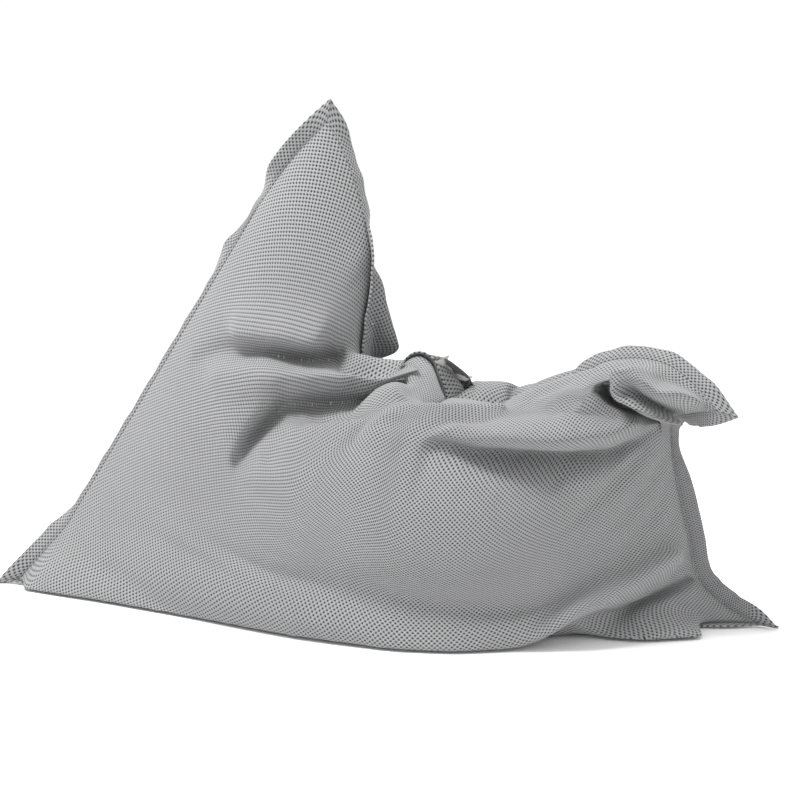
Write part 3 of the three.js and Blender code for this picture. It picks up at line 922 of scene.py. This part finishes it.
def band_stations(name):
    """Seam points of one edge with the band's direction and the thickness direction at each."""
    points = edge_of(name)
    along = np.gradient(points, axis=0)
    along /= np.linalg.norm(along, axis=1)[:, None]
    way = np.cross(along, [0, -1, 0] if name == "right" else [0, 1, 0])
    share = np.linspace(0, 1, len(points))
    if name == "bottom":
        turned = smooth_step(1 - np.minimum(share, 1 - share) / 0.07)
        way = np.stack([np.where(share < 0.5, -turned, turned), turned - 1.0, 0 * share], 1)
    way /= np.linalg.norm(way, axis=1)[:, None]
    if name in LEANS:
        lean = np.radians(np.interp(share, *np.array(LEANS[name]).T))
        back = np.array([0, 1.0, 0]) - along * along[:, 1:2]
        back /= np.linalg.norm(back, axis=1)[:, None]
        way = way * np.cos(lean)[:, None] + back * np.sin(lean)[:, None]
    soft = way.copy()
    for _ in range(3):
        soft[1:-1] = (soft[:-2] + 2 * soft[1:-1] + soft[2:]) / 4
    soft /= np.linalg.norm(soft, axis=1)[:, None]
    return points, along, soft, np.cross(soft, along)


stations = {name: band_stations(name) for name in ("left", "top", "right", "bottom")}
for name, (_, _, way, _) in stations.items():
    print(name, "band points", way[len(way) // 2].round(2), "at its middle")

# %% The band itself


def mitre_way(first, second):
    """The shared direction where two bands meet."""
    shared = first + second
    return shared / np.linalg.norm(shared)


WAYS = {name: way for name, (_, _, way, _) in stations.items()}
ENDS = {"left": ("heel", "peak"), "top": ("peak", "flap"), "right": ("foot", "flap"),
        "bottom": ("heel", "foot")}  # the corner where each edge starts, and where it ends
TIPS = {"peak": mitre_way(WAYS["left"][-1], WAYS["top"][0]),
        "flap": mitre_way(WAYS["top"][-1], WAYS["right"][-1]),
        "foot": np.array([0.94, -0.34, 0.0]), "heel": np.array([-0.94, -0.34, 0.0])}
TIP_CELLS = 4
GATHERS = (  # where a band is bunched up: its edge, the place, how far, and the width lost
    ("right", 0.68, 0.10, 0.55), ("top", 0.42, 0.06, 0.60), ("top", 0.148, 0.022, 0.75),
    ("left", 0.785, 0.05, 0.68))
LAP = 0.004  # how far a band runs past its mitre, under its neighbour


def tip_normal(tip, first, second):
    """The direction across both bands where they meet."""
    between = first + second * np.sign(first.dot(second))
    between -= tip * between.dot(tip)
    return between / np.linalg.norm(between)


TIP_NORMALS = {
    "peak": tip_normal(TIPS["peak"], stations["left"][3][-1], stations["top"][3][0]),
    "flap": tip_normal(TIPS["flap"], stations["top"][3][-1], stations["right"][3][-1]),
    "foot": np.array([0, 0, 1.0]), "heel": np.array([0, 0, 1.0])}


def reach_of(name):
    """The vector across the band at each station, as long as the band is wide."""
    reach = WAYS[name] * FLANGE
    share = np.linspace(0, 1, len(reach))
    for edge, centre, width, loss in GATHERS:
        if edge == name:
            reach = reach * (1 - loss * np.exp(-((share - centre) / width) ** 2))[:, None]
    for end, tip in zip((0, -1), (TIPS[corner] for corner in ENDS[name])):
        for k in range(TIP_CELLS):
            at = k if end == 0 else -1 - k
            blend = smooth_step(1 - k / TIP_CELLS)
            length = np.linalg.norm(reach[at]) * (1 + (TIP - 1) * blend ** 2)
            mixed = blend * tip + (1 - blend) * reach[at] / np.linalg.norm(reach[at])
            reach[at] = mixed / np.linalg.norm(mixed) * length
    return reach


def run_of(name):
    """How far along its edge each station lies, on the flat cut."""
    return np.linspace(0, 1, len(edge_of(name))) * (CUT[0] if name in ("top", "bottom") else CUT[1])


def wave_of(run):
    """How far the band's rim waves out of its plane: two slow waves of different length."""
    return 0.0022 * np.sin(run * 61 + 1.3) + 0.0014 * np.sin(run * 113 + 0.4)


def past_mitre(name):
    """One edge's stations with a short lap at each end, so that no slit is left at the tips."""
    points, along, _, normal = stations[name]
    reach, run, normal = reach_of(name), run_of(name), normal.copy()
    for end, corner in zip((0, -1), ENDS[name]):
        shared = TIP_NORMALS[corner]
        normal[end] = shared * np.sign(shared.dot(normal[end]))
    lap = [(points[0] - along[0] * LAP, reach[0], normal[0], run[0] - LAP),
           (points[-1] + along[-1] * LAP, reach[-1], normal[-1], run[-1] + LAP)]
    return [np.concatenate([[first], middle, [last]]) for first, middle, last in
            zip(lap[0], (points, reach, normal, run), lap[1])]


def curl(name, reach, normal, run):
    """The band's outer part, which lies down over the zip behind the left edge."""
    if name != "left":
        return reach, normal
    turn = np.radians(np.interp(run / CUT[1], *np.array(CURLS).T))[:, None]
    size = np.linalg.norm(reach, axis=1)[:, None]
    return (reach * np.cos(turn) + normal * size * np.sin(turn),
            normal * np.cos(turn) - reach / size * np.sin(turn))


def band_mesh(name):
    points, reach, normal, run = past_mitre(name)
    wave = wave_of(run) if name != "bottom" else np.zeros_like(run)
    sections = []
    curled, turned = curl(name, reach, normal, run)
    for at, half in zip(FLANGE_AT, FLANGE_HALF):
        middle = points + reach * min(at, CURL_FROM) + curled * max(at - CURL_FROM, 0)
        across = turned if at > CURL_FROM else normal
        sections.append((middle + across * (wave * at ** 2)[:, None], across, half, at))
    ring = [(m + n * h, a) for m, n, h, a in sections] + \
           [(m - n * h, a) for m, n, h, a in reversed(sections)]
    body = bmesh.new()
    cut = body.loops.layers.uv.new("cut")
    columns = []
    for place, _ in ring:
        place = place.copy()
        place[:, 2] = np.maximum(place[:, 2], 0.0004)
        columns.append([body.verts.new(p) for p in place])
    around = len(ring)
    uv_across = [FLANGE * a for _, a in ring]
    for k in range(around):
        n = (k + 1) % around
        for s in range(len(points) - 1):
            corners = ((k, s), (k, s + 1), (n, s + 1), (n, s))
            face = body.faces.new([columns[c][t] for c, t in corners])
            for loop, (c, t) in zip(face.loops, corners):
                loop[cut].uv = (run[t], uv_across[c])
    for s, order in ((0, 1), (len(points) - 1, -1)):
        face = body.faces.new([columns[k][s] for k in range(around)][::order])
        for loop in face.loops:
            loop[cut].uv = (run[s], 0)
    bmesh.ops.recalc_face_normals(body, faces=body.faces)
    mesh = bpy.data.meshes.new(f"flange_{name}_band")
    body.to_mesh(mesh)
    body.free()
    mesh.polygons.foreach_set("use_smooth", [True] * len(mesh.polygons))
    return mesh


for name in stations:
    band = add_object(f"flange_{name}_band", band_mesh(name))
    band.data.materials.append(COVER_CLOTH)
    rounder = band.modifiers.new("rounder", "SUBSURF")
    rounder.levels = rounder.render_levels = 1
    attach(band, "bag")
    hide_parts(f"flange_{name}")
print("four bands,", FLANGE, "m wide")

# %% [markdown]
# ## Stitches and zip coils
# Both are one small shape repeated hundreds of times along a path, which is what Geometry Nodes are
# for. The tree takes the path and the sizes, lays the points out evenly, turns a copy to follow the
# path at each, and ends by making the copies real and giving them their material.

# %% A Geometry Nodes tree that repeats a plump shape along a path


def repeat_along(name, material):
    tree = bpy.data.node_groups.new(name, "GeometryNodeTree")
    face = tree.interface
    face.new_socket("Path", in_out="INPUT", socket_type="NodeSocketGeometry")
    for size, value in (("Spacing", 0.007), ("Length", 0.005), ("Width", 0.001), ("Height", 0.001)):
        face.new_socket(size, in_out="INPUT", socket_type="NodeSocketFloat").default_value = value
    face.new_socket("Copies", in_out="OUTPUT", socket_type="NodeSocketGeometry")
    node, link = tree.nodes.new, tree.links.new
    into, out = node("NodeGroupInput"), node("NodeGroupOutput")
    curve, lay = node("GeometryNodeMeshToCurve"), node("GeometryNodeCurveToPoints")
    lay.mode = "LENGTH"
    bead, size = node("GeometryNodeMeshUVSphere"), node("ShaderNodeCombineXYZ")
    bead.inputs["Segments"].default_value, bead.inputs["Rings"].default_value = 8, 5
    bead.inputs["Radius"].default_value = 0.5
    copies, real = node("GeometryNodeInstanceOnPoints"), node("GeometryNodeRealizeInstances")
    paint = node("GeometryNodeSetMaterial")
    paint.inputs["Material"].default_value = material
    link(into.outputs["Path"], curve.inputs[0])
    link(curve.outputs[0], lay.inputs["Curve"])
    link(into.outputs["Spacing"], lay.inputs["Length"])
    for socket, axis in (("Width", 0), ("Height", 1), ("Length", 2)):
        link(into.outputs[socket], size.inputs[axis])
    link(lay.outputs["Points"], copies.inputs["Points"])
    link(bead.outputs["Mesh"], copies.inputs["Instance"])
    link(lay.outputs["Rotation"], copies.inputs["Rotation"])
    link(size.outputs[0], copies.inputs["Scale"])
    link(copies.outputs[0], real.inputs[0])
    link(real.outputs[0], paint.inputs["Geometry"])
    link(paint.outputs[0], out.inputs[0])
    return tree


def repeated(name, tree, paths, body, slot, replaces=(), **sizes):
    """Runs the tree on the paths, keeps the result as a plain mesh, and rides it on its body."""
    mesh = bpy.data.meshes.new(name)
    points, edges = [], []
    for path in paths:
        edges += [(len(points) + k, len(points) + k + 1) for k in range(len(path) - 1)]
        points += [tuple(p) for p in path]
    mesh.from_pydata(points, edges, [])
    source = add_object(name + "_path", mesh)
    nodes = source.modifiers.new("repeat", "NODES")
    nodes.node_group = tree
    for item in tree.interface.items_tree:
        if item.in_out == "INPUT" and item.name in sizes:
            nodes[item.identifier] = float(sizes[item.name])
    depsgraph = bpy.context.evaluated_depsgraph_get()
    result = bpy.data.meshes.new_from_object(source.evaluated_get(depsgraph))
    result.name = name
    bpy.data.objects.remove(source)
    bpy.data.meshes.remove(mesh)
    made = add_object(name, result)
    result.polygons.foreach_set("use_smooth", [True] * len(result.polygons))
    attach(made, body)
    for node in replaces:
        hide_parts(node)
    print(name, len(result.polygons), "faces")
    return made


# %% Topstitching on both faces of the band
STITCH = {"Spacing": 0.0078, "Length": 0.0056, "Width": 0.0013, "Height": 0.0013}
STITCH_AT = 0.22  # share of the band's width
STITCH_PROUD = 0.0001
stitch_tree = repeat_along("stitches", THREAD)


def half_thickness(at):
    return float(np.interp(at, FLANGE_AT, FLANGE_HALF))


for name, (points, _, _, normal) in stations.items():
    reach = reach_of(name)
    wave = wave_of(run_of(name))
    lines = []
    for face in (1, -1):
        off = face * (half_thickness(STITCH_AT) + STITCH_PROUD)
        line = points + reach * STITCH_AT + normal * (off + wave * STITCH_AT ** 2)[:, None]
        line[:, 2] = np.maximum(line[:, 2], 0.0008)
        lines.append(line[2:-2])
    repeated(f"stitches_{name}", stitch_tree, lines, "bag", "thread", [f"topstitch_{name}"],
             **STITCH)

# %% [markdown]
# ## The zips
# The coils are rows of small nylon loops, again repeated along a path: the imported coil's own middle
# line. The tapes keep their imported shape. The metal parts keep it too, with their edges rounded, as
# cast sliders have.

# %% Coils
TOOTH = {"Spacing": 0.0024, "Length": 0.0019, "Width": 0.0030, "Height": 0.0017}
tooth_tree = repeat_along("zip_teeth", ZIP_NYLON)
for prefix, line, scale in (("", cover_zip, 1.0), ("liner_", liner_zip, 0.75)):
    for side in ("front", "back"):
        coil = points_of(f"{prefix}zip_coil_{side}")
        ends = [coil.mean(0) + way * (line["half"] - 0.0015) * line["along"] for way in (-1, 1)]
        path = [ends[0] + (ends[1] - ends[0]) * t for t in np.linspace(0, 1, 12)]
        repeated(f"{prefix}zip_loops_{side}", tooth_tree, [path], "bag", "nylon",
                 [f"{prefix}zip_coil_{side}"],
                 **{size: value * scale for size, value in TOOTH.items()})

# %% Tapes and metal
for node in NODES:
    if "tape" in node:
        NODES[node].data.materials.clear()
        NODES[node].data.materials.append(ZIP_TAPE)


def softened(node, name, radius):
    """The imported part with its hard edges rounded, standing for it on the same body."""
    body = bmesh.new()
    body.from_mesh(NODES[node].data)
    bmesh.ops.remove_doubles(body, verts=body.verts, dist=1e-6)
    bmesh.ops.dissolve_limit(body, angle_limit=0.01, verts=body.verts, edges=body.edges)
    mesh = bpy.data.meshes.new(name)
    body.to_mesh(mesh)
    body.free()
    made = add_object(name, mesh)
    mesh.materials.append(ZIP_METAL)
    edge = made.modifiers.new("edges", "BEVEL")
    edge.width, edge.segments, edge.limit_method = radius, 2, "ANGLE"
    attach(made, NODES[node]["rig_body"])
    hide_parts(node)
    return made


for node, name, radius in (
        ("zip_slider", "cover_zip_slider", 0.00025), ("zip_puller", "cover_zip_puller", 0.0003),
        ("zip_stop_lower", "cover_stop_lower", 0.0003),
        ("zip_stop_upper", "cover_stop_upper", 0.0003),
        ("liner_zip_slider", "inner_zip_slider", 0.0002),
        ("liner_zip_stop_lower", "inner_stop_lower", 0.0002),
        ("liner_zip_stop_upper", "inner_stop_upper", 0.0002)):
    softened(node, name, radius)
print("zips done")

# %% The end
bpy.context.view_layer.update()
